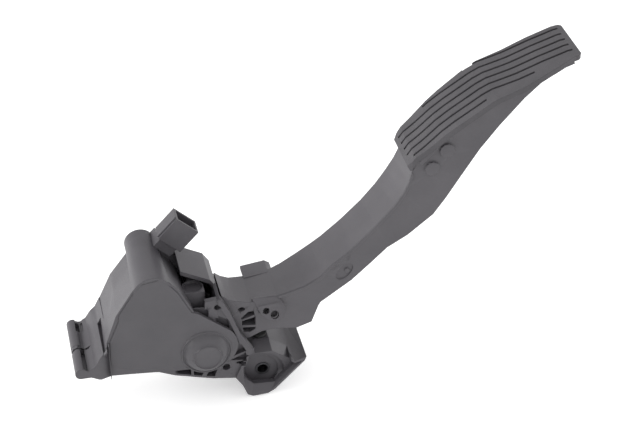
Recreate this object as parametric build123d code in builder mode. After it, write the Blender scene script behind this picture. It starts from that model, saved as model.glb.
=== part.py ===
# Accelerator pedal module: a sprung pedal arm in a moulded housing with a contactless angle sensor.
# Millimetres. The origin is on the axis of the foot's bolt hole, in the rear mounting plane. X runs towards the pad,
# Z up, and Y along the pivot, away from the side cover. Positions below are measured from the pivot's axis and from
# the cap over it, and the sketch planes carry them to the origin. Pressing the pad turns the arm from Z towards X.
import os
from math import acos, atan2, cos, hypot, radians, sin

from build123d import *

os.makedirs("parts", exist_ok=True)

# Planes across the module, along the pivot's axis
cover_face = 5.0
cover_wall = 2.5
bearing_wall = 3.5
side_gap = 1.0
arm_width = 29.0
web_thickness = 3.0
rear_wall = 3.5
sensor_depth = 5.5
foot_face = 6.0
hook_face = 2.0
shell_wall = 2.6

near_rim = cover_face + cover_wall
bearing_inner = near_rim + bearing_wall
hub_near = bearing_inner + side_gap
arm_far = hub_near + arm_width
hub_far = arm_far - web_thickness
hub_width = hub_far - hub_near
boss_inner = hub_far + side_gap
rear_inner = arm_far + side_gap
rear_outer = rear_inner + rear_wall
far_face = rear_outer + sensor_depth

# Pivot
shaft_radius = 5.0
running_gap = 0.05
bush_wall = 1.5
bush_flange_radius = 9.0
bush_flange = 0.7
drum_radius = 15.0
drum_gap = 2.0

# Return springs and their lever
lever_reach = 30.0
lever_width = 24.0
lever_half_height = 4.0
spring_radius = 8.4
spring_wire = 2.0
inner_spring_radius = 5.4
inner_spring_wire = 1.5
spring_top = 42.0
spring_turns = 6
seat_radius = 11.0
seat_thickness = 1.6
seat_pin_radius = 3.6
seat_pin_height = 5.0

# Friction unit that rubs on the top of the drum
friction_x = -4.2
friction_tube_radius = 6.3
friction_tube_bore = 4.4
friction_gap = 0.1
friction_tube_foot = 18.0
friction_tube_top = 38.0
friction_shoe_length = 10.0
friction_wire = 1.0
friction_turns = 6

contact_gap = 0.3

# Stops
bumper_radius = 4.5

# Mounting foot and hook
bolt_x = 36.0
bolt_z = -28.5
sleeve_bore = 6.6
sleeve_wall = 1.3
foot_well_radius = 14.0
foot_well_floor = 16.0
foot_pocket_depth = 5.5
foot_wall = 2.2
foot_floor = 3.0
hook_x = -75.8
hook_z = -0.8
hook_radius = 3.6
slot_width = 2.6

# Sensor
sensor_sink = 0.2
recess_web = 0.5
sensor_radius = 18.5
sensor_end_radius = 7.5
seal_width = 1.8
screw_radius = 1.35
sensor_cover_wall = 1.8
seal_height = 1.0
board_thickness = 1.0
board_radius = 12.5
board_end_radius = 6.9
board_gap = 0.6
chip_gap = 0.5
chip_size = 4.0
chip_thickness = 0.9
magnet_radius = 7.0
magnet_height = 1.8
carrier_radius = 9.0
carrier_height = 3.0

# Connector
connector_angle = 47.0
connector_width = 17.1
connector_depth = 12.0
connector_length = 19.5
connector_wall = 1.3
connector_near = 34.0
mouth_x = -3.4
mouth_z = 73.4
neck_width = 13.0
neck_gap = 1.3
lead_reach = 34.5
terminal_count = 6
terminal_pitch = 2.2
terminal_size = 0.64
terminal_reach = 10.0

# Arm and pad
flange_thickness = 3.0
rib_thickness = 2.2
pad_width = 36.0
pad_near = 8.5
carrier_plate = 2.6
tread_thickness = 3.4
groove_width = 1.7
groove_depth = 1.2
groove_count = 7
fit_gap = 0.2


# Screws of the sensor cover, in X and Z, and posts under the board
ear_reach = 2.8
post_places = [(11.0, -11.5), (-15.4, 4.0), (2.6, 14.6)]
ear_radius = 3.6
screw_head = 2.7
connector_socket = 16.0
key_side = 4.2
lip_height = 2.5
lip_width = 1.6
shaft_head = 1.4
boss_height = 1.2
oval_depth = 0.8
root_pocket_depth = 20.0
fold_angle = 65.0
fold_z = 28.6
fold_reach = 2.4
tab_far = 50.6
idle_x = -36.0
idle_seat = -8.6
bumper_height = 6.0
shelf_z = -8.0
stop_x = 36.0
stop_seat_depth = 2.6
stop_bumper_height = 4.7
pad_left = 123.6
pad_right = 224.2
groove_spacing = 6.4
groove_bow = 12.0
groove_right = 221.0
groove_right_span = 96.0
groove_starts = [165.0, 141.0, 126.0, 126.0, 126.0, 126.0, 128.0]
groove_ends = [221.0, 221.0, 221.0, 221.0, 221.0, 197.0, 168.0]

# Planes and sizes that follow from the ones above
bush_radius = shaft_radius + running_gap + bush_wall
spring_y = hub_near + hub_width / 2
spring_x = 0.4 - lever_reach
friction_y = spring_y - 3.0
friction_seat = friction_tube_top - 4.0
shoe_foot = 10.0
cavity_top = 44.0
cap_radius = 9.4
sensor_floor = rear_inner + recess_web
plate_far = far_face - sensor_sink
plate_near = plate_far - sensor_cover_wall
seal_near = plate_near - seal_height
board_near = plate_near - board_gap - board_thickness
carrier_far = board_near - chip_thickness - chip_gap
shaft_end = carrier_far - carrier_height + 0.9
neck_end = lead_reach - sensor_end_radius - seal_width - neck_gap
lead_y = connector_near + connector_depth / 2
lead_top = plate_near + sensor_cover_wall / 2
leg_back = neck_end - 1.2
sleeve_radius = sleeve_bore / 2 + sleeve_wall
head_near = plate_far - 1.5
screw_tip = rear_inner + 1.2


def across(y):
    """Plane square to the pivot at this depth: sketch x is X and sketch y is Z, from the pivot."""
    return Plane(origin=(-bolt_x, y - far_face, -bolt_z), x_dir=(1, 0, 0), z_dir=(0, -1, 0))


def level(z, x=0.0, y=0.0):
    """Level plane at this height above the pivot, with its sketch's zero at this X and Y."""
    return Plane(origin=(x - bolt_x, y - far_face, z - bolt_z))


def polygon(points, mode=Mode.ADD):
    """Closed face through these points, in the sketch that is open."""
    return Polygon(*points, align=None, mode=mode)


def along_connector(distance, sideways=0.0):
    """Point in X and Z that lies this far back from the connector's mouth and this far to its side."""
    turn = radians(connector_angle)
    x = mouth_x - distance * cos(turn) + sideways * sin(turn)
    z = mouth_z - distance * sin(turn) - sideways * cos(turn)
    return (x, z)


def connector_side(sideways=0.0):
    """Plane along the connector: sketch x runs back from the mouth, sketch y along the pivot."""
    turn = radians(connector_angle)
    x, z = along_connector(0.0, sideways)
    return Plane(origin=(x - bolt_x, -far_face, z - bolt_z), x_dir=(-cos(turn), 0, -sin(turn)),
                 z_dir=(sin(turn), 0, -cos(turn)))


def block(low, high, mode=Mode.ADD):
    """Rectangle between two opposite corners, in the sketch that is open."""
    return polygon([low, (high[0], low[1]), high, (low[0], high[1])], mode)


def pear(pivot_radius, end_radius, mode=Mode.ADD):
    """Circles on the pivot and on the board's end with the tangents that join them."""
    end_x, end_z = along_connector(lead_reach)
    lean = atan2(end_z, end_x)
    spread = acos((pivot_radius - end_radius) / hypot(end_x, end_z))
    corners = []
    for turn in (lean - spread, lean + spread):
        corners.append((pivot_radius * cos(turn), pivot_radius * sin(turn)))
    for turn in (lean + spread, lean - spread):
        corners.append((end_x + end_radius * cos(turn), end_z + end_radius * sin(turn)))
    Circle(pivot_radius, mode=mode)
    polygon(corners, mode)
    with Locations((end_x, end_z)):
        Circle(end_radius, mode=mode)


pivot_axis = Axis(level(0.0).origin, (0, 1, 0))

# Screws of the sensor cover, in X and Z, beside the seal
end_x, end_z = along_connector(lead_reach)
pivot_reach = sensor_radius + seal_width + ear_reach
end_reach = sensor_end_radius + seal_width + ear_reach
side_reach = (pivot_reach + end_reach) / 2 / hypot(end_x, end_z)
screw_places = [(pivot_reach * cos(radians(8)), pivot_reach * sin(radians(8))),
                (pivot_reach * cos(radians(200)), pivot_reach * sin(radians(200))),
                (end_x + end_reach * cos(radians(216)), end_z + end_reach * sin(radians(216))),
                (end_x / 2 + side_reach * end_z, end_z / 2 - side_reach * end_x)]

# Housing outlines
ridge_near = (-29.6, 49.5)
ridge_far = (-31.0, 54.4)
ridge_near_radius = 10.0
ridge_far_radius = 9.2
case_near = [(-59.3, -8.4), (-59.3, 14.2), (-50.6, 36.4), (-39.0, 53.0), (-20.6, 53.2), (-12.0, 41.4),
             (-7.8, 31.0), (-7.8, -20.2), (-19.6, -16.8), (-29.0, -12.5), (-46.0, -9.6)]
case_far = [(-59.3, -8.4), (-59.3, 13.9), (-50.2, 33.5), (-39.5, 47.5), (-20.6, 49.0), (-12.0, 41.4),
            (-7.8, 31.0), (-7.8, -20.2), (-19.6, -16.8), (-29.0, -12.5), (-46.0, -9.6)]
case_cavity = [(-54.6, 2.5), (-54.6, 14.0), (-46.8, 33.6), (-38.8, cavity_top), (-19.2, cavity_top),
               (-15.0, 39.5), (-10.6, 30.0), (-10.6, -6.6), (-25.6, -5.6), (-43.0, -3.6)]
bearing_plate = [(-9.0, 30.0), (0.4, 29.5), (0.9, 35.5), (8.6, 36.2), (9.9, 37.4), (15.1, 27.4), (21.2, 9.5),
                 (29.5, -6.1), (29.5, -8.5), (22.0, -26.0), (17.6, -25.9), (3.5, -23.6), (-9.0, -20.0)]
bearing_rib = [(9.9, 37.4), (15.1, 27.4), (21.2, 9.5), (29.5, -6.1), (29.5, -8.4), (25.3, -8.4), (21.0, 0.2),
               (14.8, 19.8), (8.6, 32.3), (8.2, 36.2)]
rear_plate = [(-14.0, 44.0), (-10.9, 49.2), (6.8, 39.8), (10.7, 33.8), (12.0, 24.0), (25.0, 12.0), (29.5, 2.0),
              (29.5, -8.5), (22.0, -26.0), (17.6, -25.9), (3.5, -23.6), (-14.0, -18.8)]
hub_tray = [(-10.0, -12.0), (-10.0, -19.7), (3.5, -23.6), (17.6, -25.9), (22.0, -26.0), (28.5, -8.5),
            (24.0, -8.5), (14.0, -8.5)]
foot_outline = [(28.0, -8.0), (41.0, -8.0), (54.6, -18.4), (61.9, -15.8), (60.9, -18.8), (41.8, -38.3),
                (37.3, -40.7), (28.0, -41.2), (24.6, -39.4), (21.6, -31.5), (17.6, -25.0), (24.0, -9.5)]
foot_pocket = [(29.0, -10.3), (40.4, -10.3), (54.0, -20.6), (58.2, -19.2), (40.9, -36.6), (36.8, -38.5),
               (28.6, -38.9), (26.6, -37.9), (24.2, -31.5), (23.8, -17.0)]
bearing_pockets = [
    [(-0.2, 28.6), (2.8, 28.4), (2.4, 24.8)],
    [(8.0, 24.2), (14.2, 20.2), (14.4, 15.8), (9.4, 20.6)],
    [(21.0, -0.4), (24.2, -4.6), (24.0, -6.0), (17.8, -7.9)],
    [(24.4, -8.6), (16.2, -11.6), (24.2, -12.0)],
    [(18.6, -13.2), (24.2, -13.2), (24.2, -14.8), (18.6, -14.8)],
]
rail_pockets = [
    [(-19.0, -13.4), (-9.6, -13.8), (-9.6, -18.2), (-17.5, -15.9)],
    [(-8.0, -14.8), (-1.2, -16.8), (-3.2, -20.2), (-8.0, -18.8)],
    [(1.6, -17.2), (6.6, -17.0), (4.8, -22.2), (-0.6, -21.0)],
]
rail_pocket_depth = 8.0
root_pockets = [
    [(23.3, 20.9), (31.1, 19.5), (31.0, 14.5), (23.4, 17.1)],
    [(23.4, 16.0), (32.1, 15.5), (31.9, 8.3), (23.3, 9.4)],
    [(23.3, 8.0), (31.9, 7.9), (31.9, 4.0)],
]
fold = Plane(origin=(-bolt_x, hub_near - far_face, fold_z - bolt_z), x_dir=(1, 0, 0),
             z_dir=(0, -sin(radians(fold_angle)), cos(radians(fold_angle))))
plate_pocket_depth = 2.4

# Housing
with BuildPart() as housing:
    with BuildSketch(across(near_rim)):
        polygon(case_near)
    with BuildSketch(across(far_face)):
        polygon(case_far)
    loft(ruled=True)
    with BuildSketch(across(near_rim)):
        with Locations(ridge_near):
            Circle(ridge_near_radius)
    with BuildSketch(across(far_face)):
        with Locations(ridge_far):
            Circle(ridge_far_radius)
    loft()
    # rear wall and bearing wall beside the case
    with BuildSketch(across(rear_inner)):
        polygon(rear_plate)
    extrude(amount=rear_inner - far_face)
    with BuildSketch(across(near_rim)):
        polygon(bearing_plate)
    extrude(amount=near_rim - bearing_inner)
    with BuildSketch(across(foot_face)):
        polygon(bearing_rib)
    extrude(amount=foot_face - bearing_inner)
    # tray below the hub, and the foot
    with BuildSketch(across(near_rim)):
        polygon(hub_tray)
    extrude(amount=near_rim - far_face)
    with BuildSketch(across(foot_face)) as foot_sketch:
        polygon(foot_outline)
        fillet(foot_sketch.vertices().group_by(Axis.Y)[0], radius=3.0)
    extrude(amount=foot_face - far_face)
    # roof over the hub and the wall on its right
    roof_near = 23.0
    with BuildSketch(across(roof_near)):
        polygon([(-10.9, 49.2), (6.8, 39.8), (10.7, 33.8), (10.7, 20.0), (8.1, 20.0), (8.1, 33.0), (5.1, 37.7),
                 (-10.9, 46.2)])
    extrude(amount=roof_near - rear_inner)
    with BuildSketch(across(near_rim)):
        polygon([(9.9, 37.4), (10.7, 34.0), (10.7, 20.0), (8.1, 20.0), (8.1, 36.2)])
    extrude(amount=near_rim - roof_near)
    # hook with its ramp
    with BuildSketch(across(hook_face)):
        polygon([(hook_x, hook_z + hook_radius), (-71.5, 0.6), (-67.6, 3.0), (-64.3, 8.0), (-61.2, 10.9),
                 (-58.0, 17.4), (-58.0, -8.3), (-64.0, -7.6), (-70.0, -4.4), (hook_x, hook_z - hook_radius)])
        with Locations((hook_x, hook_z)):
            Circle(hook_radius)
    extrude(amount=hook_face - far_face)
    # case cavity, open to the side cover, and the hub's space
    with BuildSketch(across(near_rim)):
        polygon(case_cavity)
    extrude(amount=near_rim - rear_inner, mode=Mode.SUBTRACT)
    with BuildSketch(across(near_rim)):
        with Locations((-29.8, 51.0)):
            Circle(5.0)
    extrude(amount=near_rim - rear_inner, mode=Mode.SUBTRACT)
    with BuildSketch(across(bearing_inner)):
        Circle(drum_radius + drum_gap)
    extrude(amount=bearing_inner - rear_inner, mode=Mode.SUBTRACT)
    with BuildSketch(across(boss_inner)):
        Circle(drum_radius + drum_gap)
    extrude(amount=boss_inner - rear_inner)
    # way out for the arm
    with BuildSketch(across(bearing_inner)):
        polygon([(10.8, 40.0), (10.8, 12.0), (14.0, -8.0), (41.0, -8.0), (41.0, 40.0)])
    extrude(amount=bearing_inner - rear_inner, mode=Mode.SUBTRACT)
    # pockets and holes of the bearing wall and of the tray
    with BuildSketch(across(foot_face)):
        for pocket in bearing_pockets:
            polygon(pocket)
    extrude(amount=foot_face - near_rim - plate_pocket_depth, mode=Mode.SUBTRACT)
    with BuildSketch(across(foot_face)):
        for pocket in rail_pockets:
            polygon(pocket)
    extrude(amount=foot_face - near_rim - rail_pocket_depth, mode=Mode.SUBTRACT)
    with BuildSketch(across(foot_face)):
        with Locations((8.2, 30.5)):
            Circle(2.0)
        with Locations((12.2, -19.6)):
            Circle(2.4)
    extrude(amount=foot_face - bearing_inner, mode=Mode.SUBTRACT)
    # bearing holes, sensor bowl on the rear with its floor, and the notch for the connector's neck
    with BuildSketch(across(rear_inner)):
        pear(sensor_radius + seal_width + 2.4, sensor_end_radius + seal_width + 2.4)
    extrude(amount=rear_inner - far_face)
    with BuildSketch(across(foot_face)):
        Circle(bush_radius)
    extrude(amount=foot_face - sensor_floor, mode=Mode.SUBTRACT)
    with BuildSketch(across(sensor_floor)):
        Circle(carrier_radius + side_gap)
    extrude(amount=sensor_floor - far_face, mode=Mode.SUBTRACT)
    with BuildSketch(across(rear_outer)):
        pear(sensor_radius, sensor_end_radius)
    extrude(amount=rear_outer - far_face, mode=Mode.SUBTRACT)
    with BuildSketch(across(seal_near)):
        pear(sensor_radius + seal_width + fit_gap, sensor_end_radius + seal_width + fit_gap)
    extrude(amount=seal_near - far_face, mode=Mode.SUBTRACT)
    with BuildSketch(across(plate_near)):
        for place in screw_places:
            with Locations(place):
                Circle(ear_radius + fit_gap)
    extrude(amount=plate_near - far_face, mode=Mode.SUBTRACT)
    with BuildSketch(across(plate_near)):
        for place in screw_places:
            with Locations(place):
                Circle(screw_radius + 0.02)
    extrude(amount=screw_tip - fit_gap - plate_near, mode=Mode.SUBTRACT, dir=(0, 1, 0))
    with BuildSketch(connector_side()):
        block((connector_length - 3.0, connector_near - contact_gap), (neck_end + contact_gap, far_face + 1.0))
        block((neck_end, plate_near), (lead_reach, far_face + 1.0))
    extrude(amount=neck_width / 2 + contact_gap, both=True, mode=Mode.SUBTRACT)
    with BuildSketch(across(rear_outer)):
        for place in post_places:
            with Locations(place):
                Circle(1.6)
    extrude(amount=rear_outer - board_near)
    # tube of the friction unit with its closed top
    with BuildSketch(level(friction_tube_foot)):
        with Locations((friction_x, friction_y)):
            Circle(friction_tube_radius)
    extrude(amount=friction_tube_top - friction_tube_foot)
    with BuildSketch(level(friction_tube_foot)):
        block((friction_x - rib_thickness, friction_y), (friction_x + rib_thickness, rear_inner))
    extrude(amount=friction_tube_top - friction_tube_foot)
    with BuildSketch(level(shoe_foot)):
        with Locations((friction_x, friction_y)):
            Circle(friction_tube_bore)
    extrude(amount=friction_seat - shoe_foot, mode=Mode.SUBTRACT)
    with BuildSketch(level(friction_seat + rib_thickness)):
        with Locations((friction_x, friction_y)):
            Circle(friction_tube_bore)
    extrude(amount=friction_tube_top - friction_seat, mode=Mode.SUBTRACT)
    # well and pockets of the foot
    with BuildSketch(across(foot_face)):
        polygon(foot_pocket)
    extrude(amount=-foot_pocket_depth, mode=Mode.SUBTRACT)
    with BuildSketch(across(foot_face)):
        with Locations((bolt_x, bolt_z)):
            Circle(foot_well_radius)
        polygon(foot_pocket, Mode.INTERSECT)
    extrude(amount=foot_face - foot_well_floor, mode=Mode.SUBTRACT)
    with BuildSketch(across(foot_well_floor + foot_floor)):
        polygon([(30.5, -13.8), (40.0, -13.8), (53.6, -22.8), (41.0, -35.4), (36.5, -37.8), (29.2, -38.4),
                 (27.0, -37.4), (24.6, -31.2), (26.0, -20.0)])
        with Locations((bolt_x, bolt_z)):
            Circle(sleeve_radius + foot_floor, mode=Mode.SUBTRACT)
            Rectangle(40.0, rib_thickness, rotation=35, mode=Mode.SUBTRACT)
            Rectangle(40.0, rib_thickness, rotation=125, mode=Mode.SUBTRACT)
    extrude(amount=foot_well_floor + foot_floor - far_face, mode=Mode.SUBTRACT)
    with BuildSketch(across(foot_face)):
        with Locations((bolt_x, bolt_z)):
            Circle(sleeve_radius)
    extrude(amount=foot_face - far_face, mode=Mode.SUBTRACT)
    # seats of the two stop bumpers
    with BuildSketch(level(idle_seat)):
        with Locations((idle_x, spring_y)):
            Circle(bumper_radius)
    extrude(amount=bumper_height, mode=Mode.SUBTRACT)
    with BuildSketch(level(shelf_z - stop_seat_depth)):
        with Locations((stop_x, spring_y)):
            Circle(bumper_radius)
    extrude(amount=bumper_height, mode=Mode.SUBTRACT)
    # underside and slots of the hook
    with BuildSketch(across(hook_face + shell_wall)):
        polygon([(-71.0, -9.0), (-71.0, -2.0), (-67.3, 0.4), (-64.2, 5.0), (-61.8, 7.0), (-61.8, -9.0)])
    extrude(amount=hook_face + 2 * shell_wall - far_face, mode=Mode.SUBTRACT)
    with BuildSketch(level(-6.0)):
        block((-79.6, 22.0), (-67.0, 25.5))
        block((-73.0, 7.5), (-70.4, 22.5))
        block((-74.2, 39.5), (-72.0, 52.0))
        block((-71.0, 39.5), (-69.9, 52.0))
    extrude(amount=12.0, mode=Mode.SUBTRACT)
    with BuildSketch(level(-1.0)):
        block((-61.2, 1.0), (-59.6, 34.0))
    extrude(amount=20.0, mode=Mode.SUBTRACT)

# Side cover
with BuildPart() as side_cover:
    with BuildSketch(across(cover_face)):
        with BuildLine():
            Polyline((-21.6, 55.3), (-15.3, 47.1), (-7.8, 31.2), (-3.6, 29.2), (15.1, 13.6))
            ThreePointArc((15.1, 13.6), (19.4, 3.5), (11.2, -11.2))
            Polyline((11.2, -11.2), (3.1, -14.2), (-11.6, -9.7), (-25.6, -8.6), (-43.0, -6.7), (-55.9, -0.9),
                     (-57.6, 1.6), (-57.2, 17.4), (-51.0, 32.0), (-50.6, 36.4), (-38.4, 55.0))
            ThreePointArc((-38.4, 55.0), (-30.0, 59.4), (-21.6, 55.3))
        make_face()
    extrude(amount=-cover_wall)
    with BuildSketch(across(near_rim)):
        polygon(case_cavity)
        offset(amount=-fit_gap, mode=Mode.REPLACE)
    extrude(amount=-lip_height)
    with BuildSketch(across(near_rim)):
        polygon(case_cavity)
        offset(amount=-fit_gap - lip_width, mode=Mode.REPLACE)
    extrude(amount=-lip_height, mode=Mode.SUBTRACT)
    # stepped round cap over the pivot, hollow for the shaft's head
    with BuildSketch(level(0.0)):
        polygon([(0, -1.5), (8.4, -1.5), (8.9, 0.0), (9.3, 0.0), (14.3, 1.8), (15.7, cover_face), (15.7, near_rim),
                 (0, near_rim)])
    revolve(axis=pivot_axis)
    with BuildSketch(level(0.0)):
        polygon([(0, 0.5), (7.0, 0.5), (13.0, 3.6), (13.0, near_rim), (0, near_rim)])
    revolve(axis=pivot_axis, mode=Mode.SUBTRACT)

# Connector terminals, bent from square wire and moulded into the sensor cover
half = terminal_size / 2
terminal_profile = [(connector_socket - terminal_reach, lead_y - half), (leg_back + half, lead_y - half),
                    (leg_back + half, lead_top - half), (lead_reach - half, lead_top - half),
                    (lead_reach - half, board_near - half), (lead_reach + half, board_near - half),
                    (lead_reach + half, lead_top + half), (leg_back - half, lead_top + half),
                    (leg_back - half, lead_y + half), (connector_socket - terminal_reach, lead_y + half)]
terminals = []
for index in range(terminal_count):
    with BuildPart() as terminal:
        with BuildSketch(connector_side(terminal_pitch * (index - (terminal_count - 1) / 2))):
            polygon(terminal_profile)
        extrude(amount=half, both=True)
    terminals.append(terminal.part)

# Sensor cover with the connector's shroud
with BuildPart() as sensor_cover:
    with BuildSketch(across(plate_near)):
        pear(sensor_radius + seal_width, sensor_end_radius + seal_width)
        for place in screw_places:
            with Locations(place):
                Circle(ear_radius)
    extrude(amount=-sensor_cover_wall)
    with BuildSketch(connector_side()):
        block((connector_length, lead_y - connector_depth / 3), (neck_end, plate_near + sensor_cover_wall))
        block((neck_end, plate_near), (lead_reach, plate_near + sensor_cover_wall))
    extrude(amount=neck_width / 2, both=True)
    with BuildSketch(connector_side()):
        block((0, connector_near), (connector_length, connector_near + connector_depth))
    extrude(amount=connector_width / 2, both=True)
    with BuildSketch(connector_side()):
        block((0, connector_near + connector_wall),
              (connector_socket, connector_near + connector_depth - connector_wall))
    extrude(amount=connector_width / 2 - connector_wall, both=True, mode=Mode.SUBTRACT)
    # keys inside the socket and the catch on its side
    for sideways in (-key_side, key_side):
        with BuildSketch(connector_side(sideways)):
            block((1.5, connector_near + connector_wall - 0.1), (connector_socket, connector_near + 2.3))
        extrude(amount=0.6, both=True)
    with BuildSketch(connector_side(connector_width / 2 + 0.4)):
        polygon([(3.0, lead_y - 2.5), (6.5, lead_y - 2.5), (6.5, lead_y + 2.5), (3.0, lead_y + 2.5)])
    extrude(amount=0.8, both=True)
    with BuildSketch(across(plate_near)):
        for place in screw_places:
            with Locations(place):
                Circle(screw_radius + 0.15)
    extrude(amount=-sensor_cover_wall, mode=Mode.SUBTRACT)
    for place in screw_places:
        with BuildSketch(level(place[1], place[0])):
            polygon([(0, plate_near), (screw_radius + 0.15, plate_near), (screw_radius + 0.15, head_near),
                     (screw_head + 0.1, plate_far), (0, plate_far)])
        revolve(axis=Axis(level(place[1], place[0]).origin, (0, 1, 0)), mode=Mode.SUBTRACT)
    for part in terminals:
        add(part, mode=Mode.SUBTRACT)

# Sensor pieces: seal, board, chips, magnet and its carrier, screws
with BuildPart() as sensor_seal:
    with BuildSketch(across(seal_near)):
        pear(sensor_radius + seal_width, sensor_end_radius + seal_width)
        pear(sensor_radius + fit_gap, sensor_end_radius + fit_gap, Mode.SUBTRACT)
    extrude(amount=-seal_height)

with BuildPart() as sensor_board:
    with BuildSketch(across(board_near)):
        pear(board_radius, board_end_radius)
    extrude(amount=-board_thickness)
    for part in terminals:
        add(part, mode=Mode.SUBTRACT)

with BuildPart() as hall_chip_1:
    with BuildSketch(across(board_near)):
        with Locations((-chip_size * 0.65, 0)):
            Rectangle(chip_size, chip_size * 1.25)
    extrude(amount=chip_thickness)

with BuildPart() as hall_chip_2:
    with BuildSketch(across(board_near)):
        with Locations((chip_size * 0.65, 0)):
            Rectangle(chip_size, chip_size * 1.25)
    extrude(amount=chip_thickness)

with BuildPart() as magnet:
    with BuildSketch(across(carrier_far - magnet_height)):
        Circle(magnet_radius)
    extrude(amount=-magnet_height)

with BuildPart() as magnet_carrier:
    with BuildSketch(across(carrier_far - carrier_height)):
        Circle(carrier_radius)
    extrude(amount=-carrier_height)
    with BuildSketch(across(carrier_far - magnet_height)):
        Circle(magnet_radius)
    extrude(amount=-magnet_height, mode=Mode.SUBTRACT)
    with BuildSketch(across(carrier_far - carrier_height)):
        Circle(shaft_radius)
    extrude(amount=carrier_far - carrier_height - shaft_end, mode=Mode.SUBTRACT)

with BuildPart() as sensor_cover_screws:
    for place in screw_places:
        with BuildSketch(level(place[1], place[0])):
            polygon([(0, screw_tip), (screw_radius, screw_tip + screw_radius), (screw_radius, head_near),
                     (screw_head, plate_far - 0.1), (0, plate_far - 0.1)])
        revolve(axis=Axis(level(place[1], place[0]).origin, (0, 1, 0)))

# Pivot shaft and bushes
with BuildPart() as pivot_shaft:
    with BuildSketch(across(near_rim - fit_gap)):
        Circle(shaft_radius)
    extrude(amount=near_rim - fit_gap - shaft_end)
    with BuildSketch(across(near_rim - fit_gap)):
        Circle(shaft_radius + 2.5)
    extrude(amount=shaft_head)

with BuildPart() as pivot_bush_near:
    with BuildSketch(across(near_rim)):
        Circle(bush_radius)
    extrude(amount=-bearing_wall)
    with BuildSketch(across(bearing_inner)):
        Circle(bush_flange_radius)
    extrude(amount=-bush_flange)
    with BuildSketch(across(near_rim)):
        Circle(shaft_radius + running_gap)
    extrude(amount=-bearing_wall - bush_flange, mode=Mode.SUBTRACT)

with BuildPart() as pivot_bush_far:
    with BuildSketch(across(boss_inner)):
        Circle(bush_radius)
    extrude(amount=boss_inner - sensor_floor)
    with BuildSketch(across(boss_inner)):
        Circle(bush_flange_radius)
    extrude(amount=bush_flange)
    with BuildSketch(across(boss_inner - bush_flange)):
        Circle(shaft_radius + running_gap)
    extrude(amount=boss_inner - bush_flange - sensor_floor, mode=Mode.SUBTRACT)

# Return springs with their seat and cap
with BuildPart() as spring_seat:
    with BuildSketch(level(lever_half_height)):
        with Locations((-lever_reach, spring_y)):
            Circle(seat_radius)
    extrude(amount=seat_thickness)
    with BuildSketch(level(lever_half_height)):
        with Locations((-lever_reach, spring_y)):
            Circle(seat_pin_radius)
    extrude(amount=seat_pin_height)

with BuildPart() as spring_cap:
    with BuildSketch(level(spring_top)):
        with Locations((spring_x + 0.4, spring_y)):
            Circle(cap_radius)
    extrude(amount=cavity_top - spring_top)
    with BuildSketch(level(spring_top)):
        with Locations((spring_x + 0.4, spring_y)):
            Circle(seat_pin_radius)
    extrude(amount=-seat_pin_height)

coil_foot = lever_half_height + seat_thickness
with BuildPart() as return_spring_outer:
    with BuildLine():
        coil = Helix(pitch=(spring_top - coil_foot - spring_wire) / spring_turns,
                     height=spring_top - coil_foot - spring_wire, radius=spring_radius,
                     center=level(coil_foot + spring_wire / 2, spring_x, spring_y).origin)
    with BuildSketch(Plane(origin=coil @ 0, z_dir=coil % 0)):
        Circle(spring_wire / 2)
    sweep(path=coil, is_frenet=True)

with BuildPart() as return_spring_inner:
    with BuildLine():
        coil = Helix(pitch=(spring_top - coil_foot - inner_spring_wire) / spring_turns,
                     height=spring_top - coil_foot - inner_spring_wire, radius=inner_spring_radius,
                     center=level(coil_foot + inner_spring_wire / 2, spring_x, spring_y).origin, lefthand=True)
    with BuildSketch(Plane(origin=coil @ 0, z_dir=coil % 0)):
        Circle(inner_spring_wire / 2)
    sweep(path=coil, is_frenet=True)

# Friction shoe that rubs on the drum, and its spring
shoe_top = drum_radius + friction_shoe_length
with BuildPart() as friction_shoe:
    with BuildSketch(level(shoe_foot)):
        with Locations((friction_x, friction_y)):
            Circle(friction_tube_bore - friction_gap)
    extrude(amount=shoe_top - shoe_foot)
    with BuildSketch(across(hub_near)):
        Circle(drum_radius + contact_gap)
    extrude(amount=-hub_width, mode=Mode.SUBTRACT)

with BuildPart() as friction_spring:
    with BuildLine():
        coil = Helix(pitch=(friction_seat - shoe_top - friction_wire) / friction_turns,
                     height=friction_seat - shoe_top - friction_wire, radius=friction_tube_bore - friction_wire,
                     center=level(shoe_top + friction_wire / 2, friction_x, friction_y).origin)
    with BuildSketch(Plane(origin=coil @ 0, z_dir=coil % 0)):
        Circle(friction_wire / 2)
    sweep(path=coil, is_frenet=True)

# Stop bumpers
with BuildPart() as idle_stop_bumper:
    with BuildSketch(level(idle_seat)):
        with Locations((idle_x, spring_y)):
            Circle(bumper_radius)
    extrude(amount=bumper_height)

with BuildPart() as full_stop_bumper:
    with BuildSketch(level(shelf_z - stop_seat_depth)):
        with Locations((stop_x, spring_y)):
            Circle(bumper_radius)
    extrude(amount=stop_bumper_height)

# Metal sleeve in the foot
with BuildPart() as mounting_sleeve:
    with BuildSketch(across(foot_well_floor - 0.5)):
        with Locations((bolt_x, bolt_z)):
            Circle(sleeve_radius)
            Circle(sleeve_bore / 2, mode=Mode.SUBTRACT)
    extrude(amount=foot_well_floor - 0.5 - far_face)

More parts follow.
